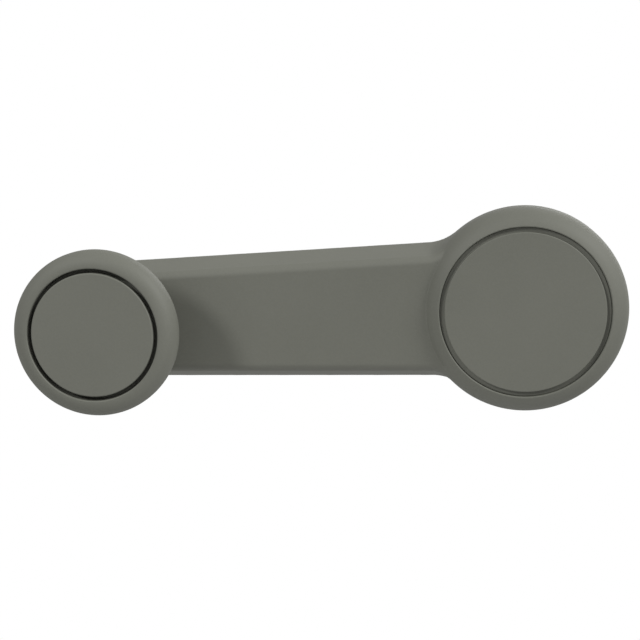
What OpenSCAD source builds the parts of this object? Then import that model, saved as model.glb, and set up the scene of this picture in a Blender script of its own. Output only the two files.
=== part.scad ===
// Window crank handle: a moulded arm that pushes onto a serrated regulator shaft
// and is held there by a screw under a pull-off hub cap. A knob turns on a
// headed spindle at the arm's free end.
//
// Millimetres. Every piece is drawn on the bench: the hub's axis is Z, the front
// faces +Z, the arm runs along -X and Z = 0 is the plane of the door trim.
// fitted() then turns the bench view into the fitted one, with the front to -Y.

/* [Crank] */
// Distance from the shaft's axis to the knob's axis
crank_throw = 102; // [85:1:130]
// Outer diameter of the hub
hub_d = 50; // [41:0.1:60]
// Height of the hub's front rim above the door trim
hub_h = 12; // [10:0.5:16]
// Width of the hub's front rim, round the cap
hub_rim_w = 4.5; // [3:0.1:6]
// Radius of the hub's rounded front edge
hub_edge_r = 6.5; // [6:0.5:9]
// Height of the arm's front face above the door trim
arm_face_h = 9.7; // [8:0.1:12]
// Width of the arm's back at the hub's axis
arm_root_w = 34.8; // [28:0.2:40]
// Width of the arm's back at the knob's axis
arm_tip_w = 29.7; // [25:0.2:36]
// How far each side of the arm leans in by its front face
arm_draft = 2.8; // [0.5:0.1:4]
// Radius of the arm's front edges
arm_edge_r = 1; // [0.4:0.1:2]
// Radius of the blend between the arm's sides and the hub
blend_r = 12; // [5:0.5:16]
// Thickness of the moulded walls
wall_t = 2.4; // [1.6:0.1:3]
// Thickness of the ribs at the back
rib_t = 1.4; // [0.8:0.1:2]
// Largest distance from one cross rib of the arm to the next
rib_pitch = 14; // [8:0.5:20]
// Number of ribs from the hub's boss to its rim
hub_ribs = 8; // [5:1:10]

/* [Shaft insert] */
// Diameter across the tips of the serrations, which is the bore for the shaft
bore_d = 10; // [8:0.2:12]
// Number of serration grooves
groove_count = 16; // [8:1:20]
// Depth of each serration groove
groove_depth = 0.45; // [0.2:0.05:0.6]
// Width of each serration groove at the bore
groove_w = 0.48; // [0.3:0.02:0.6]
// Length of the serrated stretch
serration_len = 7; // [5:0.5:10]
// Outer diameter of the insert
insert_d = 16; // [14:0.2:20]
// Thickness of the insert's end wall, under the screw's washers
insert_end_t = 2; // [1.5:0.1:3]
// Thickness of plastic round the insert
boss_t = 2.6; // [2:0.1:3.5]

/* [Screw and washers] */
// Thread diameter of the retaining screw
screw_d = 5; // [4:0.5:5]
// Length of the screw under its head
screw_len = 8; // [8:1:10]
// Diameter of the screw's head
screw_head_d = 9.6; // [8:0.1:11]
// Height of the screw's head
screw_head_h = 2.1; // [1.6:0.1:2.4]
// Thickness of the plain washer
plain_washer_t = 1; // [0.6:0.1:1.4]
// Thickness of the split lock washer
lock_washer_t = 1.2; // [0.8:0.1:1.4]

/* [Hub cap] */
// Thickness of the hub cap's disc
hub_cap_t = 1.5; // [1.2:0.1:2]
// Width of the groove round the hub cap
hub_groove_w = 1.2; // [0.6:0.1:2]
// Depth of the groove round the hub cap
hub_groove_depth = 1; // [0.5:0.1:1.3]
// Depth of the hub cap's skirt under its disc
hub_skirt_h = 1.05; // [0.8:0.05:1.2]
// Diameter of the hub cap's pegs
hub_peg_d = 3; // [2:0.1:3.6]
// Number of pegs on each cap
peg_count = 4; // [3:1:6]

/* [Knob] */
// Outer diameter of the knob
knob_d = 40; // [34:0.2:48]
// Height of the knob's front above the arm's face
knob_h = 18.3; // [13.7:0.1:24]
// Width of the knob's front rim, round the cap
knob_rim_w = 4.2; // [3.8:0.1:6]
// Radius of the knob's rounded front edge
knob_edge_r = 3.8; // [2:0.1:3.8]
// Thickness of the knob's disc at its edge
knob_disc_t = 6.4; // [5.8:0.1:8]
// Diameter of the knob's neck
knob_neck_d = 25; // [23:0.2:30]
// Radius under the edge of the knob's disc
knob_under_r = 1.5; // [0.5:0.1:2]
// Thickness of the knob cap's disc
knob_cap_t = 1.6; // [1.2:0.1:2]
// Width of the open gap round the knob cap
knob_gap_w = 1; // [0.5:0.1:1.6]
// Depth of the open gap round the knob cap
knob_gap_depth = 3.4; // [2.6:0.1:4]
// Diameter of the knob cap's pegs
knob_peg_d = 2.4; // [1.8:0.1:2.8]

/* [Spindle] */
// Diameter of the spindle where the knob turns on it
spindle_d = 7; // [6:0.1:8.4]
// Diameter of the spindle's tail in the arm
spindle_tail_d = 5; // [4:0.1:5.6]
// Diameter of the spindle's head
spindle_head_d = 11.6; // [10:0.1:12.4]
// Height of the spindle's head
spindle_head_h = 1.3; // [1:0.1:1.5]
// Wall thickness of the knob's bush
bush_t = 1.4; // [1:0.1:1.6]
// Thickness of the nylon washer under the knob
thrust_washer_t = 0.8; // [0.5:0.1:1.2]
// Diameter of the nylon washer under the knob
thrust_washer_d = 19; // [15:0.5:21]
// Thickness of the steel washer under the spindle's peened end
tail_washer_t = 1; // [0.6:0.1:1.4]

/* [Hidden] */
$fn = 96;
hull_fn = 32;
eps = 0.01;
sink = 0.02;                    // how far a web's faces lie under the faces that they run into
cut = 1;                        // how far a cut runs past the face it opens

grey = [0.42, 0.42, 0.39];
steel = [0.66, 0.67, 0.68];
nylon = [0.90, 0.88, 0.82];

// Fits, as clearances on the radius or along the axis
running_fit = 0.05;             // a turning bore on its spindle
slide_gap = 0.1;                // flat faces that turn past each other
peg_fit = 0.05;                 // a peg in its hole
cap_fit = 0.1;                  // the hub cap's flange in its recess
screw_fit = 0.25;               // a screw's shank in a clearance hole
tip_gap = 0.2;                  // from the screw's tip to the serrated stretch
head_gap = 0.2;                 // from the screw's head to the hub cap
seat_gap = 0.05;                // under the hub cap's skirt

// Hub, from the front backwards. The rim is an arc from the groove's edge to the
// hub's wall, and crown_z is how high that arc's circle reaches.
hub_r = hub_d / 2;
recess_r = hub_r - hub_rim_w;
crown_z = hub_h + hub_edge_r - sqrt(hub_rim_w * (2 * hub_edge_r - hub_rim_w));
cap_under_z = hub_h - hub_cap_t;
recess_z = cap_under_z - hub_skirt_h - seat_gap;
deck_z = recess_z - wall_t;                     // underside of the hub's front wall
head_seat_z = cap_under_z - head_gap - screw_head_h;
insert_top_z = head_seat_z - lock_washer_t - plain_washer_t;
serration_z = head_seat_z - screw_len - tip_gap;
insert_z = serration_z - serration_len;         // the mouth of the bore
insert_r = insert_d / 2;
boss_r = insert_r + boss_t;
rib_back_gap = 0.8;                             // from the door trim to the ribs
peg_circle_r = (boss_r + recess_r) / 2;

// Insert
flute_count = 10;
flute_r = 0.8;
collar_r = insert_r + boss_t / 2;
collar_h = 1.6;
collar_z = insert_z + serration_len / 2;

// Screw and washers
washer_r = screw_head_d / 2 + 1.2;
well_r = washer_r + 0.6;
thread_pitch = 0.8;
thread_depth = 0.4;
drive_w = 1.1;                                  // width of a slot of the cross recess
drive_len = 5;
drive_depth = 1.4;

// Arm
root_r = arm_root_w / 2;
tip_r = arm_tip_w / 2;
pad_h = 0.3;                                    // raised seat under the nylon washer
pad_r = thrust_washer_d / 2 + 0.8;
arm_deck_z = arm_face_h - wall_t;               // underside of the arm's front wall
spindle_boss_r = spindle_tail_d / 2 + 5;
bay_start = hub_r;
bay_end = crank_throw + tip_r;
bay_count = ceil((bay_end - bay_start) / rib_pitch);

// Blend between arm and hub: a circle that touches the hub and the arm's side
side_deg = atan2(crank_throw, root_r) - acos(tip_r / norm([crank_throw, root_r]));
blend_out = root_r * cos(side_deg) + blend_r;   // from the arm's middle line, square to its side
blend_along = sqrt(pow(hub_r + blend_r, 2) - pow(blend_out, 2));
blend_at = [blend_out * sin(side_deg) - blend_along * cos(side_deg),
            blend_out * cos(side_deg) + blend_along * sin(side_deg)];
blend_end = blend_at - blend_r * [sin(side_deg), cos(side_deg)];

// Knob, from the arm outwards
pad_z = arm_face_h + pad_h;
knob_base_z = pad_z + thrust_washer_t + slide_gap;
knob_top_z = arm_face_h + knob_h;
knob_r = knob_d / 2;
knob_recess_r = knob_r - knob_rim_w;
knob_floor_z = knob_top_z - knob_gap_depth;
disc_z = knob_top_z - knob_disc_t;              // underside of the knob's disc
neck_r = knob_neck_d / 2;
flare_r = min(disc_z - knob_base_z - 1, knob_r - knob_under_r - neck_r);
spindle_r = spindle_d / 2;
bush_r = spindle_r + running_fit + bush_t;
tube_r = bush_r + 1.8;
core_r = neck_r - wall_t;
core_z = knob_base_z + wall_t;
knob_ribs = 6;
knob_cap_r = knob_recess_r - knob_gap_w;
knob_cap_z = knob_top_z - knob_cap_t;
knob_peg_circle_r = (core_r + knob_recess_r) / 2;
knob_peg_len = 3;

// Spindle stack under the knob cap
wave_t = 0.3;
wave_rise = 0.5;
wave_count = 3;
head_z = knob_floor_z - spindle_head_h - 0.2;
wave_z = head_z - wave_t - wave_rise;
bush_top_z = wave_z - slide_gap;
tail_washer_r = spindle_tail_d / 2 + 3;
tail_washer_z = arm_deck_z - 4.4 - tail_washer_t;
peen_h = 0.9;
peen_r = spindle_tail_d / 2 + 1;

// ---------------------------------------------------------------- helpers

// Turns the bench view into the fitted one.
module fitted() {
    rotate([90, 0, 0]) children();
}

// Moves a piece from the hub's axis to the knob's.
module at_knob() {
    translate([-crank_throw, 0, 0]) children();
}

module ring(r_out, r_in, h) {
    difference() {
        cylinder(r = r_out, h = h);
        translate([0, 0, -cut]) cylinder(r = r_in, h = h + 2 * cut);
    }
}

// Places children at equal angles on a circle.
module around(count, r = 0, start = 0) {
    for (i = [0 : count - 1])
        rotate(start + i * 360 / count) translate([r, 0, 0]) children();
}

// Half section of a disc from z0 to z1, with round outer corners.
module disc_profile(r, z0, z1, top_r, bottom_r = 0) {
    difference() {
        translate([0, z0]) square([r, z1 - z0]);
        if (top_r > 0)
            translate([r - top_r, z1 - top_r]) difference() {
                square(top_r + cut);
                circle(top_r);
            }
        if (bottom_r > 0)
            translate([r - bottom_r, z0 + bottom_r]) difference() {
                translate([0, -bottom_r - cut]) square(bottom_r + cut);
                circle(bottom_r);
            }
    }
}

// ---------------------------------------------------------------- crank

module hub_shell() {
    rotate_extrude() disc_profile(hub_r, 0, crown_z, hub_edge_r);
    translate([0, 0, insert_z]) cylinder(r = boss_r, h = recess_z - insert_z);
}

// The arm is the hull of its back outline and its rounded front edges.
module arm_shell() {
    front_z = arm_face_h - arm_edge_r;
    inset = arm_draft + arm_edge_r;
    hull() {
        for (side = [-1, 1])
            translate([0, side * (root_r - inset), front_z]) sphere(arm_edge_r, $fn = hull_fn);
        translate([-eps, -root_r, 0]) cube([eps, arm_root_w, eps]);
        at_knob() {
            cylinder(r = tip_r, h = eps, $fn = 2 * hull_fn);
            translate([0, 0, front_z])
                rotate_extrude($fn = 2 * hull_fn)
                translate([tip_r - inset, 0]) circle(arm_edge_r, $fn = hull_fn);
        }
    }
}

// One web fills the corner between the arm's side and the hub. Its hollow side
// leans and is rounded at the front just as the arm's side is.
module blend_web() {
    edge = [arm_draft + arm_edge_r, arm_face_h - arm_edge_r];
    lean = atan2(edge.y, edge.x) + asin(arm_edge_r / norm(edge));
    touch = sqrt(pow(norm(edge), 2) - pow(arm_edge_r, 2)) * [cos(lean), sin(lean)];
    foot = [blend_r + sink, -sink];
    difference() {
        linear_extrude(arm_face_h - sink) polygon([[0, 0], [blend_end.x, 0], blend_end, blend_at]);
        translate(blend_at) rotate_extrude() difference() {
            polygon([[0, -cut], [foot.x, -cut], foot, foot + touch,
                     foot + edge, [foot.x + edge.x, hub_h], [0, hub_h]]);
            translate(foot + edge) circle(arm_edge_r);
        }
    }
}

// Space inside the arm's walls, open to the back.
module arm_hollow() {
    hull() {
        translate([-eps, wall_t - root_r, -cut]) cube([eps, arm_root_w - 2 * wall_t, eps]);
        translate([-eps, wall_t + arm_draft - root_r, arm_deck_z])
            cube([eps, arm_root_w - 2 * (wall_t + arm_draft), eps]);
        at_knob() {
            translate([0, 0, -cut]) cylinder(r = tip_r - wall_t, h = eps, $fn = 2 * hull_fn);
            translate([0, 0, arm_deck_z - eps])
                cylinder(r = tip_r - wall_t - arm_draft, h = eps, $fn = 2 * hull_fn);
        }
    }
}

module arm_ribs() {
    translate([-bay_end, -rib_t / 2, rib_back_gap]) cube([bay_end, rib_t, arm_face_h]);
    for (i = [1 : bay_count - 1])
        translate([-bay_start - i * (bay_end - bay_start) / bay_count - rib_t / 2, -root_r, rib_back_gap])
            cube([rib_t, arm_root_w, arm_face_h]);
}

module arm_pockets() {
    difference() {
        arm_hollow();
        arm_ribs();
        translate([0, 0, -2 * cut]) cylinder(r = hub_r - eps, h = hub_h);
        at_knob() translate([0, 0, tail_washer_z + tail_washer_t]) cylinder(r = spindle_boss_r, h = hub_h);
    }
}

module hub_pockets() {
    difference() {
        translate([0, 0, -cut]) ring(hub_r - wall_t, boss_r, deck_z + cut);
        around(hub_ribs, start = 180 / hub_ribs)
            translate([0, -rib_t / 2, rib_back_gap]) cube([hub_r, rib_t, hub_h]);
    }
}

module crank_body() {
    color(grey) difference() {
        union() {
            hub_shell();
            arm_shell();
            blend_web();
            mirror([0, 1, 0]) blend_web();
            at_knob() translate([0, 0, arm_face_h - cut]) cylinder(r = pad_r, h = pad_h + cut);
        }
        arm_pockets();
        hub_pockets();
        translate([0, 0, recess_z]) cylinder(r = recess_r, h = hub_h);
        translate([0, 0, insert_top_z]) cylinder(r = well_r, h = hub_h);
        insert_outside();
        around(peg_count, peg_circle_r, 45)
            translate([0, 0, deck_z - cut]) cylinder(d = hub_peg_d + 2 * peg_fit, h = hub_h);
        at_knob() translate([0, 0, tail_washer_z]) cylinder(d = spindle_tail_d, h = hub_h);
        at_knob() translate([0, 0, tail_washer_z - hub_h])
            cylinder(r = tail_washer_r + peg_fit, h = hub_h + tail_washer_t);
    }
}

// Outside of the insert, which is also the shape of its seat in the hub.
module insert_outside() {
    difference() {
        translate([0, 0, insert_z]) cylinder(r = insert_r, h = insert_top_z - insert_z);
        around(flute_count, insert_r + flute_r / 3)
            translate([0, 0, insert_z - cut]) cylinder(r = flute_r, h = insert_top_z - insert_z + 2 * cut, $fn = hull_fn);
    }
    translate([0, 0, collar_z]) cylinder(r = collar_r, h = collar_h);
}

module serrated_bore() {
    bore_r = bore_d / 2;
    circle(bore_r);
    around(groove_count)
        polygon([[bore_r - groove_w, -groove_w / 2], [bore_r, -groove_w / 2], [bore_r + groove_depth, 0],
                 [bore_r, groove_w / 2], [bore_r - groove_w, groove_w / 2]]);
}

module shaft_insert() {
    relief_r = bore_d / 2 + groove_depth + 0.1;
    color(steel) difference() {
        insert_outside();
        translate([0, 0, insert_z - cut]) linear_extrude(serration_len + 2 * cut) serrated_bore();
        translate([0, 0, serration_z])
            cylinder(r = relief_r, h = insert_top_z - insert_end_t - serration_z);
        translate([0, 0, insert_z]) cylinder(d = screw_d + 2 * screw_fit, h = hub_h - insert_z);
    }
}

module plain_washer() {
    color(steel) translate([0, 0, insert_top_z])
        ring(washer_r, screw_d / 2 + screw_fit, plain_washer_t);
}

// Split ring, drawn as it lies when the screw is tight.
module lock_washer() {
    split_deg = 12;
    inner_r = screw_d / 2 + screw_fit;
    color(steel) translate([0, 0, insert_top_z + plain_washer_t]) rotate(split_deg)
        rotate_extrude(angle = 360 - split_deg)
        translate([inner_r, 0]) square([screw_head_d / 2 - inner_r, lock_washer_t]);
}

module retaining_screw() {
    dome_r = screw_head_h * 0.6;
    turns = floor((screw_len - 1) / thread_pitch);
    tip_z = head_seat_z - screw_len;
    core = screw_d / 2 - thread_depth;
    color(steel) {
        difference() {
            rotate_extrude()
                disc_profile(screw_head_d / 2, head_seat_z, head_seat_z + screw_head_h, dome_r);
            for (a = [0, 90])
                rotate(a) translate([-drive_len / 2, -drive_w / 2, head_seat_z + screw_head_h - drive_depth])
                    cube([drive_len, drive_w, screw_head_h]);
        }
        rotate_extrude() polygon([[0, head_seat_z + eps], [0, tip_z], [core, tip_z],
            for (i = [0 : turns - 1]) each
                [[core, tip_z + i * thread_pitch + 0.1], [screw_d / 2, tip_z + (i + 0.5) * thread_pitch]],
            [core, tip_z + turns * thread_pitch + 0.1], [core, head_seat_z + eps]]);
    }
}

module hub_cap() {
    face_r = recess_r - hub_groove_w;
    flange_r = recess_r - cap_fit;
    flange_z = hub_h - hub_groove_depth;
    skirt_t = hub_groove_w + 1;
    color(grey) {
        rotate_extrude() {
            disc_profile(face_r, cap_under_z, hub_h, 0.3);
            translate([flange_r - skirt_t, recess_z + seat_gap])
                square([skirt_t, flange_z - recess_z - seat_gap]);
        }
        around(peg_count, peg_circle_r, 45)
            translate([0, 0, deck_z]) cylinder(d = hub_peg_d, h = cap_under_z - deck_z + eps);
    }
}

// ---------------------------------------------------------------- knob

module knob_spindle() {
    color(steel) at_knob() {
        rotate_extrude() disc_profile(spindle_head_d / 2, head_z, head_z + spindle_head_h, 0.5);
        translate([0, 0, pad_z]) cylinder(r = spindle_r, h = head_z - pad_z + eps);
        translate([0, 0, tail_washer_z]) cylinder(d = spindle_tail_d, h = pad_z - tail_washer_z + eps);
        rotate_extrude() disc_profile(peen_r, tail_washer_z - peen_h, tail_washer_z, 0, 0.7);
    }
}

module tail_washer() {
    color(steel) at_knob() translate([0, 0, tail_washer_z])
        ring(tail_washer_r, spindle_tail_d / 2, tail_washer_t);
}

module thrust_washer() {
    color(nylon) at_knob() translate([0, 0, pad_z])
        ring(thrust_washer_d / 2, spindle_r + running_fit, thrust_washer_t);
}

// A wavy spring ring, swept as one closed band round the spindle.
module wave_washer() {
    steps = 72;
    inner_r = spindle_r + 0.2;
    outer_r = spindle_head_d / 2 - 0.2;
    function lift(i) = wave_rise / 2 * (1 + cos(wave_count * i * 360 / steps));
    function corner(i, r, z) = [r * cos(i * 360 / steps), r * sin(i * 360 / steps), wave_z + lift(i) + z];
    points = [for (i = [0 : steps - 1]) each
        [corner(i, inner_r, 0), corner(i, outer_r, 0), corner(i, outer_r, wave_t), corner(i, inner_r, wave_t)]];
    faces = [for (i = [0 : steps - 1], k = [0 : 3])
        let (a = 4 * i, b = 4 * ((i + 1) % steps), m = (k + 1) % 4) each
            [[a + k, b + k, b + m], [a + k, b + m, a + m]]];
    color(steel) at_knob() polyhedron(points, faces);
}

module knob_bush() {
    color(nylon) at_knob() translate([0, 0, knob_base_z])
        ring(bush_r, spindle_r + running_fit, bush_top_z - knob_base_z);
}

module knob_outside() {
    rotate_extrude() {
        disc_profile(neck_r, knob_base_z, disc_z + cut, 0, 0.8);
        disc_profile(knob_r, disc_z, knob_top_z, knob_edge_r, knob_under_r);
        translate([neck_r - cut, disc_z - flare_r]) difference() {
            square([flare_r + cut, flare_r + eps]);
            translate([flare_r + cut, 0]) circle(flare_r);
        }
    }
}

module knob_body() {
    color(grey) at_knob() difference() {
        knob_outside();
        translate([0, 0, knob_floor_z]) cylinder(r = knob_recess_r, h = knob_h);
        translate([0, 0, bush_top_z]) cylinder(r = tube_r, h = knob_h);
        translate([0, 0, core_z]) difference() {
            ring(core_r, tube_r, knob_h);
            around(knob_ribs) translate([0, -rib_t / 2, -cut])
                cube([neck_r, rib_t, knob_floor_z - 1.5 - core_z + cut]);
        }
        translate([0, 0, knob_base_z - cut]) cylinder(r = bush_r, h = knob_h);
        around(peg_count, knob_peg_circle_r, 45) translate([0, 0, knob_floor_z - knob_peg_len])
            cylinder(d = knob_peg_d + 2 * peg_fit, h = knob_h);
    }
}

module knob_cap() {
    skirt_r = knob_peg_circle_r + knob_peg_d / 2;
    skirt_t = knob_peg_d;
    color(grey) at_knob() {
        rotate_extrude() {
            disc_profile(knob_cap_r, knob_cap_z, knob_top_z, 0.3);
            translate([skirt_r - skirt_t, knob_floor_z])
                square([skirt_t, knob_cap_z - knob_floor_z + eps]);
        }
        around(peg_count, knob_peg_circle_r, 45)
            translate([0, 0, knob_floor_z - knob_peg_len + 0.3])
                cylinder(d = knob_peg_d, h = knob_peg_len);
    }
}

fitted() crank_body();
fitted() shaft_insert();
fitted() plain_washer();
fitted() lock_washer();
fitted() retaining_screw();
fitted() hub_cap();
fitted() knob_spindle();
fitted() tail_washer();
fitted() thrust_washer();
fitted() wave_washer();
fitted() knob_bush();
fitted() knob_body();
fitted() knob_cap();
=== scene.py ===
from math import atan2, ceil, cos, hypot, pi, radians, sin, sqrt, tan

import bmesh
import bpy
import numpy as np
from mathutils import Matrix, Vector


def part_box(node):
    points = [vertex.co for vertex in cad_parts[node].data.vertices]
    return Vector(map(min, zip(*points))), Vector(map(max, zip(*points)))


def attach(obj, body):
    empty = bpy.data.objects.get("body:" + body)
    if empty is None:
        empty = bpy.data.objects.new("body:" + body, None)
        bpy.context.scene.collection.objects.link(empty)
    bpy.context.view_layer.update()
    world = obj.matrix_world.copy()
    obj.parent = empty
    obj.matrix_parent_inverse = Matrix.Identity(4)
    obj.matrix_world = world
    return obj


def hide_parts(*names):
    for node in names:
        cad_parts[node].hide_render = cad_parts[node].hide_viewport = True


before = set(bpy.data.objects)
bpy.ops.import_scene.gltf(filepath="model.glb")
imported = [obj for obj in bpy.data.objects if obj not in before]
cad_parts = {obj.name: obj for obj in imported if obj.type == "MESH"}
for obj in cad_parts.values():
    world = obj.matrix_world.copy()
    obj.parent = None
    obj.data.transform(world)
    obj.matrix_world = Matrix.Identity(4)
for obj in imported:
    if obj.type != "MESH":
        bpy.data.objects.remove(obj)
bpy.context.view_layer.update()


# ---------------------------------------------------------------- the moulded crank
# Hub, arm and knob seat are one injection moulding in olive-grey plastic, hollow
# and ribbed at the back, with drafted sides and no sharp edge anywhere. Its shape
# is a rule here: distances to each wall, joined with the fillets of the mould.
# Bench millimetres: hub axis Z, front +Z, arm along -X, Z = 0 at the door trim.

MM = 0.001
crank_low, crank_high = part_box("crank_body")
throw = -1000 * (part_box("knob_spindle")[0].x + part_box("knob_spindle")[1].x) / 2
hub_radius = 1000 * crank_high.x
hub_front = -1000 * crank_low.y
socket_mouth = -1000 * crank_high.y
arm_face = 9.7
rim_width = 4.5
rim_round = 6.5
root_half = 17.4
tip_half = 14.85
side_draft = 2.8
arm_edge = 1.0
face_round = 1.5
rim_foot = 0.12
rear_edge = 0.35
blend = 12.0
wall = 2.4
rib = 1.4
rib_back = 0.8
rib_pitch = 14.0
rib_draft = 0.02
rib_crest = 0.35
rib_foot = 0.5
hub_ribs = 8
hub_bay_round = 0.7
hub_wall_draft = 0.03
bay_floor_round = 0.8
bay_end_round = 0.6
bay_mouth_round = 0.3
cap_recess = 9.4
hub_deck = cap_recess - wall
arm_deck = arm_face - wall
boss_radius = 10.6
boss_edge = 0.5
insert_radius = 8.0
insert_top = 6.0
insert_proud = 0.1
seat_flutes = 10
seat_flute_radius = 0.8
seat_edge = 0.12
well_radius = 6.6
well_edge = 0.25
recess_corner = 0.25
recess_mouth = 0.3
peg_circle = 15.55
peg_hole = 1.55
peg_hole_deep = 1.0
peg_hole_edge = 0.15
washer_back = 1.9
washer_front = 2.9
washer_pocket = 5.55
washer_edge = 0.2
spindle_boss = 7.5
spindle_boss_draft = 0.03
spindle_boss_edge = 0.4
tail_hole = 2.5
pad_top = 10.0
pad_radius = 10.3
pad_edge = 0.12
pad_foot = 0.15
pin_mark = 1.7
pin_depth = 0.2
pin_off = 5.6
pin_soft = 0.3


def rounded_both(a, b, r):
    """Inside both walls, with their edge rounded."""
    corner = np.hypot(np.maximum(r + a, 0), np.maximum(r + b, 0))
    return np.minimum(-r, np.maximum(a, b)) + corner


def rounded_either(a, b, r):
    """Inside either wall, with a fillet in the corner between them."""
    corner = np.hypot(np.maximum(r - a, 0), np.maximum(r - b, 0))
    return np.maximum(r, np.minimum(a, b)) - corner


def eased(value, low, high):
    """0 below low and 1 above high, with a soft step between."""
    t = np.clip((value - low) / (high - low), 0, 1)
    return t * t * (3 - 2 * t)


lean = atan2(arm_face - arm_edge, side_draft + arm_edge) \
    + np.arcsin(arm_edge / hypot(arm_face - arm_edge, side_draft + arm_edge))
taper = atan2(throw, root_half) - np.arccos(tip_half / hypot(throw, root_half))
root_round = root_half * cos(taper)
blend_out = root_round + blend
blend_along = sqrt((hub_radius + blend) ** 2 - blend_out ** 2)
blend_x = blend_out * sin(taper) - blend_along * cos(taper)
blend_y = blend_out * cos(taper) + blend_along * sin(taper)
blend_from = atan2(-blend_y, -blend_x)
blend_to = atan2(-cos(taper), -sin(taper))
rim_centre = hub_front - sqrt(rim_round ** 2 - (rim_round - rim_width) ** 2)
bay_start = hub_radius
bay_end = throw + tip_half
bay_count = ceil((bay_end - bay_start) / rib_pitch)
bay_pitch = (bay_end - bay_start) / bay_count
marked_bays = bay_count - 2


def arm_outline(x, y):
    """Distance in the trim plane to the tapered arm with its round ends."""
    along = -x * cos(taper) + y * sin(taper)
    side = x * sin(taper) + y * cos(taper) - root_round
    root = np.hypot(x, y) - root_round
    tip = np.hypot(x + throw, y) - tip_half
    return np.where(along < 0, root, np.where(along > throw * cos(taper), tip, side))


def crank_outside(x, y, z, r):
    """The solid outside: the drafted arm, joined to the hub with its rounded rim."""
    arm = arm_outline(x, y)
    hub = r - hub_radius
    turn = (blend_from - np.arctan2(y - blend_y, x - blend_x)) / (blend_from - blend_to)
    inner_corner = blend - np.hypot(x - blend_x, y - blend_y)
    outline = np.where(turn > 1, arm, np.where(turn < 0, hub, inner_corner))
    rise = np.clip(z - rim_centre, 0, rim_round - 0.1)
    crown = rim_round - np.sqrt(rim_round ** 2 - rise ** 2)
    upright = outline + crown
    leaning = sin(lean) * outline + cos(lean) * z
    share = eased(turn, 0, 1)
    low = rounded_both(upright + share * (leaning - upright), z - arm_face, face_round)
    across, up = r - (hub_radius - rim_round), z - rim_centre
    shell = np.hypot(np.maximum(across, 0), np.maximum(up, 0)) \
        + np.minimum(np.maximum(across, up), 0) - rim_round
    fillet = rim_foot * eased(hub - outline, 0.2, 2.0)
    return rounded_both(rounded_either(low, shell, fillet), -z, rear_edge)


def crank_pockets(x, y, z, r, tip_r):
    """The hollows in the back, with the ribs and the spindle's boss left standing."""
    ring = rounded_both(r - (hub_radius - wall) + hub_wall_draft * z, boss_radius - r, hub_bay_round)
    ring = rounded_both(ring, z - hub_deck, hub_bay_round)
    step = 2 * pi / hub_ribs
    spoke = np.abs(r * np.sin((np.arctan2(y, x) + pi) % step - step / 2))
    spokes = rounded_both(spoke - rib / 2 - rib_draft * (z - rib_back), rib_back - z, rib_crest)
    hub_bays = rounded_both(ring, -spokes, rib_foot)
    slope = atan2(side_draft, arm_deck)
    trough = cos(slope) * (arm_outline(x, y) + wall) + sin(slope) * z
    middle = np.clip(np.floor((-x - bay_start) / bay_pitch), 0, marked_bays - 1) + 0.5
    pin = np.hypot(-x - bay_start - middle * bay_pitch, y - pin_off) - pin_mark
    deck = arm_deck + pin_depth * eased(-pin, -pin_soft, pin_soft)
    trough = rounded_both(trough, z - deck, bay_floor_round)
    trough = rounded_both(trough, hub_radius - r + rib_draft * z, bay_end_round)
    bay = np.clip(np.round((-x - bay_start) / bay_pitch), 1, bay_count - 1)
    across = np.abs(-x - bay_start - bay * bay_pitch)
    ribs = rounded_either(across, y, 0.0) - rib / 2 - rib_draft * (z - rib_back)
    trough = rounded_both(trough, -rounded_both(ribs, rib_back - z, rib_crest), rib_foot)
    post = tip_r - spindle_boss - spindle_boss_draft * (z - washer_front)
    post = rounded_both(post, washer_front - z, spindle_boss_edge)
    return np.minimum(hub_bays, rounded_both(trough, -post, rib_foot))


def crank_shape(x, y, z):
    """Distance to the moulding's surface, negative in the plastic."""
    y = np.abs(y)
    r = np.hypot(x, y)
    tip_r = np.hypot(x + throw, y)
    shape = crank_outside(x, y, z, r)
    seat_pad = rounded_both(tip_r - pad_radius, np.maximum(z - pad_top, arm_deck - z), pad_edge)
    shape = rounded_either(shape, seat_pad, pad_foot)
    shape = rounded_both(shape, -crank_pockets(x, y, z, r, tip_r), bay_mouth_round)
    boss_ends = np.maximum(socket_mouth + insert_proud - z, z - hub_deck)
    shape = np.minimum(shape, rounded_both(r - boss_radius, boss_ends, boss_edge))
    recess = rounded_both(r - (hub_radius - rim_width), cap_recess - z, recess_corner)
    shape = rounded_both(shape, -recess, recess_mouth)
    shape = rounded_both(shape, -np.maximum(r - well_radius, insert_top - z), well_edge)
    flute = 2 * pi / seat_flutes
    round_turn = (np.arctan2(y, x) + flute / 2) % flute - flute / 2
    along = r * np.cos(round_turn) - insert_radius - seat_flute_radius / 3
    groove = np.hypot(along, r * np.sin(round_turn)) - seat_flute_radius
    seat = np.maximum(np.maximum(r - insert_radius, -groove), z - insert_top)
    shape = rounded_both(shape, -seat, seat_edge)
    peg_x = peg_y = peg_circle * cos(pi / 4)
    peg = np.hypot(np.abs(x) - peg_x, y - peg_y) - peg_hole
    shape = rounded_both(shape, -np.maximum(peg, hub_deck - peg_hole_deep - z), peg_hole_edge)
    shape = rounded_both(shape, -np.maximum(tip_r - washer_pocket, z - washer_front), washer_edge)
    return np.maximum(shape, tail_hole - tip_r)


def slope_of(shape, spots, reach=0.05):
    """The distance at points, its gradient, and how sharply the surface bends there."""
    here = shape(*spots.T)
    sides = []
    for axis in range(3):
        for sign in (1, -1):
            moved = spots.copy()
            moved[:, axis] += sign * reach
            sides.append(shape(*moved.T))
    gradient = np.stack([sides[0] - sides[1], sides[2] - sides[3], sides[4] - sides[5]], 1)
    gradient = gradient / (2 * reach)
    return here, gradient, (sum(sides) - 6 * here) / reach ** 2


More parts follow.
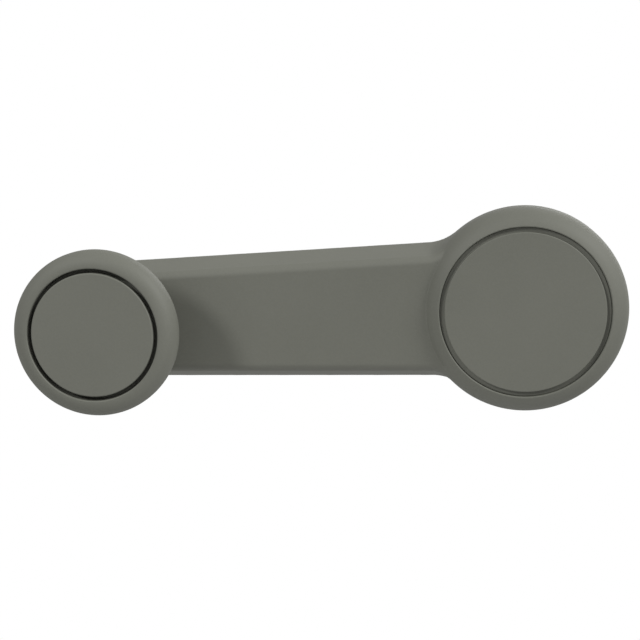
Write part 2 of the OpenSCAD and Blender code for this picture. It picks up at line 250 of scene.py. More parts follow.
def settle(shape, spots, rounds):
    """Moves points onto the surface."""
    for _ in range(rounds):
        here, gradient, _ = slope_of(shape, spots)
        size = np.maximum((gradient ** 2).sum(1), 0.25)
        spots = spots - np.clip(here / size, -0.3, 0.3)[:, None] * gradient
    return spots


def skin(shape, low, high, step):
    """One closed mesh of quads on the surface, one point in each cell that it crosses."""
    counts = np.ceil((np.array(high) - low) / step).astype(int) + 1
    half = counts[1] // 2
    axes = [low[0] + step * np.arange(counts[0]), step * (np.arange(half) + 0.5),
            low[2] + step * np.arange(counts[2])]
    grid = np.meshgrid(*(axis.astype(np.float32) for axis in axes), indexing="ij", sparse=True)
    values = shape(*grid).astype(np.float32)
    values = np.concatenate([values[:, ::-1], values], 1)
    first = np.array([low[0], -step * (half - 0.5), low[2]])
    inside = values < 0
    shape3 = np.array(values.shape) - 1
    corners = [(i, j, k) for i in (0, 1) for j in (0, 1) for k in (0, 1)]

    def corner(block, c):
        return block[c[0]:c[0] + shape3[0], c[1]:c[1] + shape3[1], c[2]:c[2] + shape3[2]]

    full = sum(corner(inside, c).astype(np.int8) for c in corners)
    active = np.argwhere((full > 0) & (full < 8))
    number = -np.ones(shape3, np.int32)
    number[tuple(active.T)] = np.arange(len(active))
    total, weight = np.zeros((len(active), 3)), np.zeros(len(active))
    for c in corners:
        for axis in range(3):
            if c[axis]:
                continue
            d = tuple(c[k] + (k == axis) for k in range(3))
            a = values[tuple((active + c).T)]
            b = values[tuple((active + d).T)]
            crossed = (a < 0) != (b < 0)
            part = np.where(crossed, a / np.where(crossed, a - b, 1), 0)
            spot = np.array(c, float) + 0 * active
            spot[:, axis] += part
            total += spot * crossed[:, None]
            weight += crossed
    points = first + step * (active + total / weight[:, None])
    quads = []
    for axis in range(3):
        u, v = (axis + 1) % 3, (axis + 2) % 3
        one = np.moveaxis(inside, axis, 0)[:-1]
        two = np.moveaxis(inside, axis, 0)[1:]
        where = np.argwhere(one != two)
        starts = np.zeros_like(where)
        starts[:, axis] = where[:, 0]
        rest = [k for k in range(3) if k != axis]
        starts[:, rest[0]], starts[:, rest[1]] = where[:, 1], where[:, 2]
        ring = []
        for du, dv in ((0, 0), (1, 0), (1, 1), (0, 1)):
            cell = starts.copy()
            cell[:, u] -= du
            cell[:, v] -= dv
            ring.append(number[tuple(cell.T)])
        ring = np.stack(ring, 1)
        flip = ~inside[tuple(starts.T)]
        ring[flip] = ring[flip][:, ::-1]
        quads.append(ring)
    return points, np.concatenate(quads)


def placed(points):
    """Bench millimetres to the fitted frame in metres."""
    points = np.asarray(points, float)
    return np.stack([points[:, 0], -points[:, 2], points[:, 1]], 1) * MM


def mesh_piece(name, points, faces, finish):
    mesh = bpy.data.meshes.new(name)
    mesh.from_pydata(placed(points).tolist(), [], [list(map(int, face)) for face in faces])
    mesh.update()
    mesh.materials.append(finish)
    piece = bpy.data.objects.new(name, mesh)
    bpy.context.collection.objects.link(piece)
    return piece


class Signal:
    """A material's socket that adds and multiplies like a number."""

    def __init__(self, tree, socket):
        self.tree, self.socket = tree, socket

    def combine(self, operation, first, second):
        node = self.tree.nodes.new("ShaderNodeMath")
        node.operation = operation
        for port, value in zip(node.inputs, (first, second)):
            if isinstance(value, Signal):
                self.tree.links.new(value.socket, port)
            else:
                port.default_value = value
        return Signal(self.tree, node.outputs[0])

    def __add__(self, other):
        return self.combine("ADD", self, other)

    def __radd__(self, other):
        return self.combine("ADD", other, self)

    def __sub__(self, other):
        return self.combine("SUBTRACT", self, other)

    def __rsub__(self, other):
        return self.combine("SUBTRACT", other, self)

    def __mul__(self, other):
        return self.combine("MULTIPLY", self, other)

    def __rmul__(self, other):
        return self.combine("MULTIPLY", other, self)


class Finish:
    """One material, built node by node."""

    def __init__(self, name):
        self.material = bpy.data.materials.new(name)
        self.material.use_nodes = True
        self.tree = self.material.node_tree
        self.tree.nodes.clear()

    def node(self, kind, settings=None, sockets=None, output=0):
        node = self.tree.nodes.new(kind)
        for setting, value in (settings or {}).items():
            if setting == "stops":
                ramp = node.color_ramp.elements
                while len(ramp) < len(value):
                    ramp.new(0.5)
                for stop, (position, colour) in zip(ramp, value):
                    stop.position, stop.color = position, (*colour, 1)
            else:
                setattr(node, setting, value)
        for socket, value in (sockets or {}).items():
            port = node.inputs[socket]
            if isinstance(value, Signal):
                self.tree.links.new(value.socket, port)
            else:
                port.default_value = value
        return Signal(self.tree, node.outputs[output]) if node.outputs else node

    def blend_colour(self, share, first, second):
        """Mix of two colours; ports 6 and 7 are the colour ones."""
        return self.node("ShaderNodeMix", {"data_type": "RGBA"}, {0: share, 6: first, 7: second}, 2)

    def done(self, surface):
        self.node("ShaderNodeOutputMaterial", None, {"Surface": surface})
        return self.material


def moulded_plastic(name, colour, dark, light):
    """Dyed-through plastic from a spark-eroded mould, with a fine matt grain and worn edges."""
    plastic = Finish(name)
    spot = plastic.node("ShaderNodeTexCoord", None, None, 3)
    cloud = plastic.node("ShaderNodeTexNoise", None, {
        "Vector": spot, "Scale": 38.0, "Detail": 4.0, "Roughness": 0.6})
    grain = plastic.node("ShaderNodeTexNoise", None, {
        "Vector": spot, "Scale": 2100.0, "Detail": 2.0, "Roughness": 0.55})
    pits = plastic.node("ShaderNodeTexVoronoi", {"feature": "SMOOTH_F1"}, {
        "Vector": spot, "Scale": 1500.0})
    edge = plastic.node("ShaderNodeAttribute", {"attribute_name": "edge"}, None, 2)
    mottle = plastic.node("ShaderNodeMapRange", None, {"Value": cloud, "From Min": 0.3, "From Max": 0.7})
    tone = plastic.blend_colour(mottle, (*dark, 1), (*colour, 1))
    speck = plastic.node("ShaderNodeMapRange", None, {
        "Value": grain, "From Min": 0.35, "From Max": 0.75})
    tone = plastic.blend_colour(speck * 0.16, tone, (*light, 1))
    tone = plastic.blend_colour(edge * 0.08, tone, (*light, 1))
    rough = 0.56 + 0.1 * mottle + 0.05 * speck - 0.1 * edge
    relief = plastic.node("ShaderNodeBump", None, {
        "Strength": 0.35, "Distance": 0.00004, "Height": 0.7 * grain + 0.3 * pits})
    return plastic.done(plastic.node("ShaderNodeBsdfPrincipled", None, {
        "Base Color": tone, "Roughness": rough, "Normal": relief, "Specular IOR Level": 0.3}))


grey_plastic = moulded_plastic(
    "olive_grey_plastic", colour=(0.112, 0.114, 0.096), dark=(0.104, 0.106, 0.089),
    light=(0.150, 0.152, 0.132))


def bench_points(mesh):
    """A mesh's points, back in bench millimetres."""
    flat = np.empty(3 * len(mesh.vertices), np.float32)
    mesh.vertices.foreach_get("co", flat)
    flat = flat.reshape(-1, 3).astype(float) / MM
    return np.stack([flat[:, 0], flat[:, 2], -flat[:, 1]], 1)


def grown(name, shape, low, high, step, triangles, finish):
    """The surface of a distance rule as a thinned mesh, with exact normals and worn edges."""
    points, quads = skin(shape, low, high, step)
    piece = mesh_piece(name, settle(shape, points, 2), quads, finish)
    thin = piece.modifiers.new("thin", "DECIMATE")
    thin.ratio = min(1, triangles / (2 * len(quads)))
    bpy.context.view_layer.update()
    thinned = piece.evaluated_get(bpy.context.evaluated_depsgraph_get())
    mesh = bpy.data.meshes.new_from_object(thinned)
    piece.modifiers.remove(thin)
    first, piece.data = piece.data, mesh
    bpy.data.meshes.remove(first)
    mesh.name = name
    spots = settle(shape, bench_points(mesh), 3)
    mesh.vertices.foreach_set("co", placed(spots).astype(np.float32).ravel())
    mesh.update()
    _, gradient, _ = slope_of(shape, spots, 0.02)
    _, _, bend = slope_of(shape, spots, 0.2)
    gradient /= np.maximum(np.linalg.norm(gradient, axis=1), 1e-6)[:, None]
    edge = mesh.attributes.new("edge", "FLOAT", "POINT")
    edge.data.foreach_set("value", eased(bend, 0.3, 1.8).astype(np.float32))
    mesh.shade_smooth()
    mesh.normals_split_custom_set_from_vertices((placed(gradient) / MM).tolist())
    return piece


margin = 1.5
behind_mouth = 1.37
crank = grown(
    "crank_moulding", crank_shape,
    [-throw - tip_half - margin, -hub_radius - margin, socket_mouth - behind_mouth],
    [hub_radius + margin, hub_radius + margin, hub_front + margin],
    step=0.3, triangles=185000, finish=grey_plastic)
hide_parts("crank_body")
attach(crank, "crank")


# ---------------------------------------------------------------- the hub cap
# A thin disc in the same plastic, pressed flush into the hub over the screw. A low
# flange leaves the shallow groove round it, and four pegs grip it in the hub.

hub_cap_face = 19.3
hub_flange = 20.44
groove_floor = 11.0
skirt_inside = 18.2
skirt_foot = 9.45
cap_underside = 10.5
cap_peg_radius = 1.5
peg_overlap = 0.2


def softened(corners, closed):
    """An outline of (radius, height, rounding) corners as points, each with its edge wear."""
    flat = np.array([corner[:2] for corner in corners], float)
    ahead = np.roll(flat, -1, 0)
    area = (flat[:, 0] * ahead[:, 1] - ahead[:, 0] * flat[:, 1]).sum()
    outline = []
    for index, (r, z, rounding) in enumerate(corners):
        if rounding == 0:
            outline.append((r, z, 0.0))
            continue
        here = flat[index]
        back, on = flat[index - 1] - here, flat[(index + 1) % len(flat)] - here
        room = min(hypot(*back), hypot(*on))
        back, on = back / hypot(*back), on / hypot(*on)
        half = np.arccos(np.clip(back @ on, -1, 1)) / 2
        reach = rounding / tan(half)
        middle = here + (back + on) / hypot(*(back + on)) * rounding / sin(half)
        cross = back[0] * on[1] - back[1] * on[0]
        convex = cross * area < 0
        steps = max(5, int(4 + 5 * rounding))
        arm = here + back * reach - middle
        if reach + 0.06 < room:
            outline.append((*(here + back * (reach + 0.05)), 0.0))
        for step in range(steps + 1):
            turn = (pi - 2 * half) * step / steps * (1 if cross < 0 else -1)
            spot = middle + [arm[0] * cos(turn) - arm[1] * sin(turn),
                             arm[0] * sin(turn) + arm[1] * cos(turn)]
            wear = convex * min(1, 0.6 / rounding) * sin(pi * step / steps)
            outline.append((*spot, wear))
        if reach + 0.06 < room:
            outline.append((*(here + on * (reach + 0.05)), 0.0))
    return outline


def turned(name, corners, finish, middle=0.0, closed=False, around=192, lift=None,
           sweep=2 * pi):
    """A turned piece from its half outline, about an axis at x = middle."""
    outline = softened(corners, closed)
    whole = sweep == 2 * pi
    points, wear, rings = [], [], []
    for r, z, edge in outline:
        if r < 1e-6:
            rings.append([len(points)] * around)
            points.append((middle, 0, z))
            wear.append(edge)
            continue
        rings.append(list(range(len(points), len(points) + around)))
        for k in range(around):
            turn = sweep * k / (around if whole else around - 1)
            height = z + (lift(turn) if lift else 0)
            points.append((middle + r * cos(turn), r * sin(turn), height))
            wear.append(edge)
    faces = []
    for one, two in zip(rings, rings[1:] + rings[:1] if closed else rings[1:]):
        for k in range(around if whole else around - 1):
            n = (k + 1) % around
            face = list(dict.fromkeys([one[k], one[n], two[n], two[k]]))
            if len(face) > 2:
                faces.append(face)
    if not whole:
        faces += [[ring[0] for ring in rings], [ring[-1] for ring in reversed(rings)]]
    piece = mesh_piece(name, points, faces, finish)
    mesh = piece.data
    tidy = bmesh.new()
    tidy.from_mesh(mesh)
    bmesh.ops.recalc_face_normals(tidy, faces=tidy.faces)
    tidy.to_mesh(mesh)
    tidy.free()
    edge_wear = mesh.attributes.new("edge", "FLOAT", "POINT")
    edge_wear.data.foreach_set("value", np.array(wear, np.float32))
    mesh.shade_smooth()
    mesh.set_sharp_from_angle(angle=radians(38))
    return piece


class Tree:
    """One Geometry Nodes tree with named inputs, which a piece is run through once."""

    def __init__(self, name):
        self.tree = bpy.data.node_groups.new(name, "GeometryNodeTree")
        self.tree.interface.new_socket(name="Piece", in_out="OUTPUT", socket_type="NodeSocketGeometry")
        self.named = {}
        self.given = self.tree.nodes.new("NodeGroupInput")
        self.shape = self.size("Piece", "NodeSocketGeometry")

    def size(self, name, kind="NodeSocketFloat"):
        socket = self.tree.interface.new_socket(name=name, in_out="INPUT", socket_type=kind)
        self.named[name] = socket.identifier
        return Signal(self.tree, self.given.outputs[name])

    def node(self, kind, settings=None, sockets=None, output=0):
        node = self.tree.nodes.new(kind)
        for setting, value in (settings or {}).items():
            setattr(node, setting, value)
        for socket, value in (sockets or {}).items():
            port = node.inputs[socket]
            for one in value if isinstance(value, list) else [value]:
                if isinstance(one, Signal):
                    self.tree.links.new(one.socket, port)
                else:
                    port.default_value = one
        return Signal(self.tree, node.outputs[output]) if node.outputs else node

    def finish(self, shape):
        """Ends the tree, with real meshes and their material."""
        real = self.node("GeometryNodeRealizeInstances", None, {0: shape})
        finish = self.size("Finish", "NodeSocketMaterial")
        dressed = self.node("GeometryNodeSetMaterial", None, {0: real, "Material": finish})
        self.node("NodeGroupOutput", None, {0: dressed})

    def run(self, piece, **sizes):
        """Puts a piece through the tree and keeps the result as its mesh."""
        modifier = piece.modifiers.new("tree", "NODES")
        modifier.node_group = self.tree
        for name, value in sizes.items():
            modifier[self.named[name.replace("_", " ")]] = value
        modifier[self.named["Finish"]] = piece.data.materials[0]
        bpy.context.view_layer.update()
        grown_piece = piece.evaluated_get(bpy.context.evaluated_depsgraph_get())
        made = bpy.data.meshes.new_from_object(grown_piece)
        made.name = piece.data.name
        piece.modifiers.remove(modifier)
        first, piece.data = piece.data, made
        bpy.data.meshes.remove(first)


pegs = Tree("pegs_under_a_cap")
peg_count = pegs.size("Peg count", "NodeSocketInt")
peg_ring = pegs.size("Ring radius")
peg_size = pegs.size("Peg radius")
peg_long = pegs.size("Peg length")
peg_start = pegs.size("Peg start")
peg_axis = pegs.size("Axis x")
one_peg = pegs.node("GeometryNodeMeshCylinder", None, {
    "Vertices": 28, "Side Segments": 12, "Fill Segments": 2, "Radius": peg_size, "Depth": peg_long})
peg_spot = pegs.node("GeometryNodeInputPosition")
peg_z = pegs.node("ShaderNodeSeparateXYZ", None, {0: peg_spot}, 2)
peg_end = pegs.node("ShaderNodeMapRange", {"interpolation_type": "SMOOTHSTEP"}, {
    "Value": peg_z * -1.0, "From Min": 0.3 * peg_long, "From Max": 0.52 * peg_long,
    "To Min": 1.0, "To Max": 0.72})
peg_slim = pegs.node("ShaderNodeCombineXYZ", None, {0: peg_end, 1: peg_end, 2: 1.0})
peg_shaped = pegs.node("GeometryNodeSetPosition", None, {"Geometry": one_peg, "Position": pegs.node(
    "ShaderNodeVectorMath", {"operation": "MULTIPLY"}, {0: peg_spot, 1: peg_slim})})
peg_places = pegs.node("GeometryNodeMeshCircle", None, {"Vertices": peg_count, "Radius": peg_ring})
peg_set = pegs.node("GeometryNodeInstanceOnPoints", None, {"Points": peg_places, "Instance": peg_shaped})
peg_turned = pegs.node("GeometryNodeTransform", None, {"Geometry": peg_set, "Rotation": (0, 0, pi / 4)})
peg_down = pegs.node("GeometryNodeTransform", None, {
    "Geometry": peg_turned, "Rotation": (pi / 2, 0, 0),
    "Translation": pegs.node("ShaderNodeCombineXYZ", None, {
        0: peg_axis, 1: 0.5 * peg_long - peg_start, 2: 0.0})})
pegs.finish(pegs.node("GeometryNodeJoinGeometry", None, {0: [peg_down, pegs.shape]}))

hub_cap = turned("hub_cap_disc", [
    (0, hub_front, 0), (hub_cap_face, hub_front, 0.22), (hub_cap_face, groove_floor, 0.2),
    (hub_flange, groove_floor, 0.15), (hub_flange, skirt_foot, 0.2), (skirt_inside, skirt_foot, 0.2),
    (skirt_inside, cap_underside, 0.3), (0, cap_underside, 0)], grey_plastic)
pegs.run(hub_cap, Peg_count=4, Ring_radius=peg_circle * MM, Peg_radius=cap_peg_radius * MM,
         Axis_x=0.0, Peg_start=(cap_underside + peg_overlap) * MM,
         Peg_length=(cap_underside + peg_overlap - hub_deck) * MM)
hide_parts("hub_cap")
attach(hub_cap, "cap")


# ---------------------------------------------------------------- the shaft socket
# A zinc-plated steel insert moulded into the hub. Sixteen V-grooves in its bore take
# the serrated shaft, and flutes outside it keep it from turning in the plastic.

bore = 5.0
relief = 5.55
end_wall = 4.0
screw_hole = 2.75
touch = 0.02


def plated_steel(name, colour, dull):
    """Bright zinc on turned steel, with fine tool rings and a faintly cloudy plating."""
    steel = Finish(name)
    spot = steel.node("ShaderNodeTexCoord", None, None, 3)
    cloud = steel.node("ShaderNodeTexNoise", None, {"Vector": spot, "Scale": 420.0, "Detail": 3.0})
    fine = steel.node("ShaderNodeTexNoise", None, {"Vector": spot, "Scale": 5200.0, "Detail": 1.0})
    lines = steel.node("ShaderNodeTexWave", {"wave_type": "RINGS", "rings_direction": "Y"}, {
        "Vector": spot, "Scale": 900.0, "Distortion": 1.5, "Detail": 1.0})
    share = steel.node("ShaderNodeMapRange", None, {"Value": cloud, "From Min": 0.3, "From Max": 0.7})
    tone = steel.blend_colour(share, (*dull, 1), (*colour, 1))
    relief = steel.node("ShaderNodeBump", None, {
        "Strength": 0.25, "Distance": 0.00002, "Height": 0.7 * lines + 0.3 * fine})
    rough = 0.27 + 0.14 * share + 0.05 * fine
    return steel.done(steel.node("ShaderNodeBsdfPrincipled", None, {
        "Base Color": tone, "Metallic": 1.0, "Roughness": rough, "Normal": relief}))


zinc = plated_steel("zinc_plated_steel", colour=(0.62, 0.63, 0.64), dull=(0.50, 0.51, 0.52))

serrations = Tree("serrated_bore_and_fluted_outside")
groove_count = serrations.size("Groove count")
groove_depth = serrations.size("Groove depth")
groove_half = serrations.size("Groove half width")
bore_radius = serrations.size("Bore radius")
bore_end = serrations.size("Bore end")
flute_count = serrations.size("Flute count")
flute_depth = serrations.size("Flute depth")
flute_half = serrations.size("Flute half width")
outside = serrations.size("Outside radius")
metal_spot = serrations.node("GeometryNodeInputPosition")
spot_parts = serrations.tree.nodes.new("ShaderNodeSeparateXYZ")
serrations.tree.links.new(metal_spot.socket, spot_parts.inputs[0])
spot_x, spot_y, spot_z = (Signal(serrations.tree, port) for port in spot_parts.outputs)
spot_turn = spot_x.combine("ARCTAN2", spot_z, spot_x)
flat_spot = serrations.node("ShaderNodeVectorMath", {"operation": "MULTIPLY"}, {
    0: metal_spot, 1: (1.0, 0.0, 1.0)})
spot_r = serrations.node("ShaderNodeVectorMath", {"operation": "LENGTH"}, {0: flat_spot}, 1)
outward = serrations.node("ShaderNodeVectorMath", {"operation": "NORMALIZE"}, {0: flat_spot})


def notch(count, depth, half, radius):
    """Depth of an evenly repeated notch round the axis, zero between notches."""
    place = spot_turn * count * (0.5 / pi)
    off = place.combine("ABSOLUTE", place - place.combine("ROUND", place, 0.0), 0.0)
    away = off.combine("DIVIDE", off * (2 * pi) * radius, count * half)
    return depth * away.combine("MAXIMUM", 1.0 - away, 0.0)


in_bore = spot_r.combine("COMPARE", spot_r, bore_radius)
in_bore.socket.node.inputs[2].default_value = touch * MM
in_bore = in_bore * spot_y.combine("GREATER_THAN", spot_y, bore_end)
at_outside = spot_r.combine("COMPARE", spot_r, outside)
at_outside.socket.node.inputs[2].default_value = touch * MM
push = in_bore * notch(groove_count, groove_depth, groove_half, bore_radius) \
    - at_outside * notch(flute_count, flute_depth, flute_half, outside)
moved = serrations.node("ShaderNodeVectorMath", {"operation": "SCALE"}, {0: outward, "Scale": push})
serrations.finish(serrations.node("GeometryNodeSetPosition", None, {
    "Geometry": serrations.shape, "Offset": moved}))

insert = turned("serrated_socket", [
    (screw_hole, insert_top, 0), (insert_radius - 0.3, insert_top, 0),
    (insert_radius, insert_top - 0.3, 0),
    (insert_radius, socket_mouth + 0.15, 0), (insert_radius - 0.15, socket_mouth, 0),
    (bore + 0.75, socket_mouth, 0), (bore, socket_mouth + 0.7, 0), (bore, 0, 0), (relief, 0, 0),
    (relief, end_wall, 0), (screw_hole, end_wall, 0)], zinc, closed=True, around=240)
serrations.run(insert, Groove_count=16.0, Groove_depth=0.45 * MM, Groove_half_width=0.48 * MM,
               Bore_radius=bore * MM, Bore_end=-0.01 * MM, Flute_count=float(seat_flutes),
               Flute_depth=0.53 * MM, Flute_half_width=0.85 * MM,
               Outside_radius=insert_radius * MM)
insert.data.set_sharp_from_angle(angle=radians(30))
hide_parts("shaft_insert")
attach(insert, "crank")


# ---------------------------------------------------------------- screw and its washers
# An M5 cross-recess pan-head screw in zinc-plated steel goes into the end of the
# shaft, over a split lock washer and a plain washer.

head_seat = 8.2
head_top = 10.3
head_radius = 4.8
screw_tip = 0.2
thread_core = 2.1
thread_pitch = 0.8
thread_height = 0.3
turns = 8
washer_seat = 7.0
washer_radius = 6.0


def head_shape(x, y, z):
    """Distance to the pan head with its cross recess."""
    r = np.hypot(x, y)
    crown = np.sqrt(r ** 2 + (z - head_top + 11) ** 2) - 11
    head = rounded_both(rounded_both(r - head_radius, head_seat - z, 0.15), crown, 1.1)
    deep = head_top - z
    long = np.maximum(np.abs(x), np.abs(y))
    across = np.minimum(np.abs(x), np.abs(y))
    wing = rounded_both(across - 0.5 + 0.12 * deep, long - 2.5 + 0.55 * deep, 0.12)
    cone = r - 1.35 + 0.5 * deep
    cross = rounded_both(rounded_either(wing, cone, 0.15), deep - 1.45, 0.2)
    return rounded_both(head, -cross, 0.07)


screw = grown("cross_recess_screw", head_shape, [-5.6, -5.6, head_seat - 0.63],
              [5.6, 5.6, head_top + 0.6], step=0.1, triangles=40000, finish=zinc)
shank = turned("screw_shank", [
    (0, head_seat + 0.1, 0), (2.5, head_seat + 0.1, 0), (2.5, head_seat - 0.7, 0),
    (thread_core, head_seat - 1.0, 0), (thread_core, screw_tip + 0.4, 0),
    (thread_core - 0.4, screw_tip, 0), (0, screw_tip, 0)], zinc, around=64)
thread = Tree("rolled_thread")
thread_turns = thread.size("Turns")
thread_long = thread.size("Length")
thread_root = thread.size("Root radius")
thread_size = thread.size("Thread height")
helix = thread.node("GeometryNodeCurveSpiral", None, {
    "Resolution": 40, "Rotations": thread_turns, "Start Radius": thread_root,
    "End Radius": thread_root, "Height": thread_long})
ridge = thread.node("GeometryNodeCurvePrimitiveCircle", None, {
    "Resolution": 3, "Radius": thread_size})
swept = thread.node("GeometryNodeCurveToMesh", None, {
    "Curve": helix, "Profile Curve": ridge, "Fill Caps": True})
upright = thread.node("GeometryNodeTransform", None, {
    "Geometry": swept, "Rotation": (pi / 2, 0, 0),
    "Translation": (0.0, -screw_tip * MM - 0.5 * MM, 0.0)})
thread.finish(thread.node("GeometryNodeJoinGeometry", None, {0: [upright, thread.shape]}))
thread.run(shank, Turns=float(turns), Length=turns * thread_pitch * MM,
           Root_radius=(thread_core + 0.1) * MM, Thread_height=thread_height * MM)
for piece in (screw, shank):
    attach(piece, "crank")
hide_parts("retaining_screw")

plain = turned("plain_washer_ring", [
    (screw_hole, insert_top, 0.1), (washer_radius, insert_top, 0.2),
    (washer_radius, washer_seat, 0.2), (screw_hole, washer_seat, 0.1)], zinc, closed=True)
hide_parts("plain_washer")
split = turned("split_lock_washer", [
    (screw_hole, washer_seat, 0.12), (head_radius, washer_seat, 0.12), (head_radius, head_seat, 0.12),
    (screw_hole, head_seat, 0.12)], zinc, closed=True, sweep=radians(348))
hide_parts("lock_washer")
for piece in (plain, split):
    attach(piece, "crank")


# ---------------------------------------------------------------- the knob
# A round moulding in the same plastic: a full-edged disc on a waisted neck, open in
# front for its cap, with a tube inside for the nylon bush.

knob_base = -1000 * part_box("knob_body")[1].y
knob_front = -1000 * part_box("knob_body")[0].y
knob_radius = 1000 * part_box("knob_body")[1].z
knob_middle = -throw
neck = 12.5
knob_disc = knob_front - 6.4
knob_recess = 15.8
knob_floor = knob_front - 3.4
bush_outside = 4.95
bush_top = 22.2
tube_outside = 6.75
core_radius = 10.1

knob = turned("round_knob", [
    (bush_outside, knob_base, 0.3), (neck, knob_base, 0.8), (neck, knob_disc, 5.9),
    (knob_radius, knob_disc, 1.5), (knob_radius, knob_front, 3.8), (knob_recess, knob_front, 0.3),
    (knob_recess, knob_floor, 0.4), (core_radius, knob_floor, 0.3),
    (core_radius, knob_base + wall, 0.6), (tube_outside, knob_base + wall, 0.6),
    (tube_outside, bush_top, 0.3), (bush_outside, bush_top, 0.3)],
    grey_plastic, middle=knob_middle, closed=True, around=256)
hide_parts("knob_body")
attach(knob, "knob")


# ---------------------------------------------------------------- the knob cap
# A disc in the same plastic, pegged into the knob for good. It stands clear of the
# rim all round, which leaves the narrow deep gap.

knob_cap_radius = 14.8
knob_cap_under = knob_front - 1.6
skirt_out = 14.15
skirt_in = 11.75
knob_peg_ring = 12.95
knob_peg_radius = 1.15
knob_peg_length = 2.9

knob_cap = turned("knob_cap_disc", [
    (0, knob_front, 0), (knob_cap_radius, knob_front, 0.3), (knob_cap_radius, knob_cap_under, 0.2),
    (skirt_out, knob_cap_under, 0.15), (skirt_out, knob_floor, 0.2), (skirt_in, knob_floor, 0.2),
    (skirt_in, knob_cap_under, 0.3), (0, knob_cap_under, 0)], grey_plastic, middle=knob_middle)
pegs.run(knob_cap, Peg_count=4, Ring_radius=knob_peg_ring * MM, Peg_radius=knob_peg_radius * MM,
         Axis_x=knob_middle * MM, Peg_start=(knob_floor + peg_overlap) * MM,
         Peg_length=knob_peg_length * MM)
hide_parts("knob_cap")
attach(knob_cap, "knob")


# ---------------------------------------------------------------- spindle, bush and washers
# The knob turns on a headed steel pin with a nylon bush, on a nylon washer. A wavy
# spring ring under the head takes up the play. The pin's tail is peened over a washer.

spindle_top = knob_floor - 0.2
spindle_head = spindle_top - 1.3
spindle_head_radius = 5.8
spindle_radius = 3.5
tail_radius = 2.5
tail_end = 1.0
tail_washer_radius = 5.3
wave_low = 22.3
wave_high = 22.6
wave_inside = 3.7
wave_outside = 5.6
wave_rise = 0.25
wave_count = 3
bush_bore = 3.55
thrust_radius = 9.5
thrust_thickness = 0.8

spindle = turned("headed_spindle", [
    (0, spindle_top, 0), (spindle_head_radius, spindle_top, 0.5),
    (spindle_head_radius, spindle_head, 0.15), (spindle_radius, spindle_head, 0),
    (spindle_radius, pad_top, 0), (tail_radius, pad_top, 0), (tail_radius, washer_back, 0),
    (3.5, washer_back, 0), (3.5, tail_end, 0.7), (1.3, tail_end, 0.2), (0.9, 1.4, 0.2), (0, 1.4, 0)],
    zinc, middle=knob_middle)
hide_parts("knob_spindle")
tail = turned("tail_washer_ring", [
    (tail_radius, washer_back, 0.1), (tail_washer_radius, washer_back, 0.2),
    (tail_washer_radius, washer_front, 0.1), (tail_radius, washer_front, 0.1)],
    zinc, middle=knob_middle, closed=True)
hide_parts("tail_washer")
wave = turned("wavy_spring_ring", [
    (wave_inside, wave_low, 0.05), (wave_outside, wave_low, 0.05),
    (wave_outside, wave_high, 0.05), (wave_inside, wave_high, 0.05)],
    zinc, middle=knob_middle, closed=True,
    lift=lambda turn: wave_rise * (1 + cos(wave_count * turn)))
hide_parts("wave_washer")
for piece in (spindle, tail, wave):
    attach(piece, "crank")


def nylon_finish(name, colour, deep):
    """Natural nylon, off-white and slightly see-through, with a waxy, faintly clouded surface."""
    nylon = Finish(name)
    spot = nylon.node("ShaderNodeTexCoord", None, None, 3)
    cloud = nylon.node("ShaderNodeTexNoise", None, {"Vector": spot, "Scale": 300.0, "Detail": 3.0})
    fine = nylon.node("ShaderNodeTexNoise", None, {"Vector": spot, "Scale": 3000.0, "Detail": 1.0})
    share = nylon.node("ShaderNodeMapRange", None, {"Value": cloud, "From Min": 0.3, "From Max": 0.7})
    relief = nylon.node("ShaderNodeBump", None, {
        "Strength": 0.2, "Distance": 0.00003, "Height": fine})
    return nylon.done(nylon.node("ShaderNodeBsdfPrincipled", None, {
        "Base Color": nylon.blend_colour(share, (*deep, 1), (*colour, 1)),
        "Roughness": 0.36 + 0.12 * share, "Subsurface Weight": 0.15, "Subsurface Scale": 0.001,
        "Normal": relief}))


nylon = nylon_finish("natural_nylon", colour=(0.82, 0.79, 0.70), deep=(0.74, 0.70, 0.60))
bush = turned("nylon_bush", [
    (bush_bore, knob_base, 0.2), (bush_outside, knob_base, 0.2), (bush_outside, bush_top, 0.2),
    (bush_bore, bush_top, 0.2)], nylon, middle=knob_middle, closed=True)
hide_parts("knob_bush")
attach(bush, "knob")
thrust = turned("nylon_thrust_washer", [
    (bush_bore, pad_top, 0.1), (thrust_radius, pad_top, 0.2),
    (thrust_radius, pad_top + thrust_thickness, 0.2), (bush_bore, pad_top + thrust_thickness, 0.1)],
    nylon, middle=knob_middle, closed=True)
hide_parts("thrust_washer")
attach(thrust, "crank")


# ---------------------------------------------------------------- room, lights and camera
# A plain pale floor well below the handle and white surroundings. The main light grazes
# the face from the right, a crisper one from the upper left throws the knob's shadow
# on the arm, and two weak ones fill from below and behind.

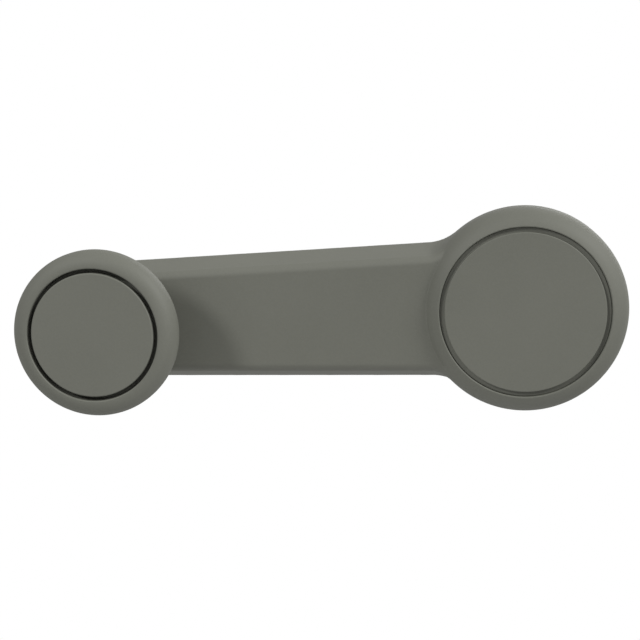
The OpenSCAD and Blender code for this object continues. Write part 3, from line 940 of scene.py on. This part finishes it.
floor_height = -0.8
floor_radius = 0.4
floor_corners = 96
pale = Finish("pale_floor")
pale_spot = pale.node("ShaderNodeTexCoord", None, None, 3)
pale_cloud = pale.node("ShaderNodeTexNoise", None, {"Vector": pale_spot, "Scale": 2.0, "Detail": 2.0})
pale_tone = pale.blend_colour(pale_cloud * 0.3, (0.90, 0.90, 0.90, 1), (0.86, 0.86, 0.86, 1))
pale.done(pale.node("ShaderNodeBsdfPrincipled", None, {
    "Base Color": pale_tone, "Roughness": 0.9}))
floor_mesh = bpy.data.meshes.new("floor")
floor_turns = [2 * pi * k / floor_corners for k in range(floor_corners)]
floor_mesh.from_pydata([(floor_radius * cos(turn), floor_radius * sin(turn), floor_height)
                        for turn in floor_turns], [], [list(range(floor_corners))])
floor_mesh.materials.append(pale.material)
floor = bpy.data.objects.new("floor", floor_mesh)
bpy.context.collection.objects.link(floor)

room = bpy.data.worlds.new("white_room")
room.use_nodes = True
bpy.context.scene.world = room
room.node_tree.nodes.clear()
seen = room.node_tree.nodes.new("ShaderNodeLightPath")
shade = room.node_tree.nodes.new("ShaderNodeMapRange")
shade.inputs["To Min"].default_value = 0.59
shade.inputs["To Max"].default_value = 1.0
glow = room.node_tree.nodes.new("ShaderNodeBackground")
glow.inputs["Color"].default_value = (1, 1, 1, 1)
out = room.node_tree.nodes.new("ShaderNodeOutputWorld")
room.node_tree.links.new(seen.outputs["Is Camera Ray"], shade.inputs["Value"])
room.node_tree.links.new(shade.outputs[0], glow.inputs["Strength"])
room.node_tree.links.new(glow.outputs[0], out.inputs["Surface"])


def soft_light(name, direction, spread, power):
    """Light from one side, as soft as a source of that width in degrees."""
    lamp = bpy.data.lights.new(name, "SUN")
    lamp.angle, lamp.energy = radians(spread), power
    light = bpy.data.objects.new(name, lamp)
    light.location = Vector(direction).normalized()
    light.rotation_euler = Vector(direction).to_track_quat("Z", "Y").to_euler()
    bpy.context.collection.objects.link(light)


soft_light("window_at_right", (0.78, -0.26, 0.57), 25, 2.85)
soft_light("lamp_at_upper_left", (-0.52, -0.64, 0.56), 13, 1.55)
soft_light("low_fill_light", (0.38, -0.64, -0.66), 40, 0.2)
soft_light("light_behind", (0.45, 0.82, 0.36), 40, 0.9)

camera_data = bpy.data.cameras.new("camera")
camera_data.sensor_width = 36.0
camera_data.lens = 75.9375
camera = bpy.data.objects.new("camera", camera_data)
across = Vector((0.9926, 0.1126, -0.0466)).normalized()
ahead = Vector((-0.1181, 0.9829, -0.1413))
ahead = (ahead - ahead.dot(across) * across).normalized()
rise = across.cross(ahead)
camera_spot = Matrix.Translation((-0.01065, -0.33483, 0.04618))
camera.matrix_world = camera_spot @ Matrix((across, rise, -ahead)).transposed().to_4x4()
bpy.context.collection.objects.link(camera)
bpy.context.scene.camera = camera
bpy.context.scene.view_settings.view_transform = "Standard"
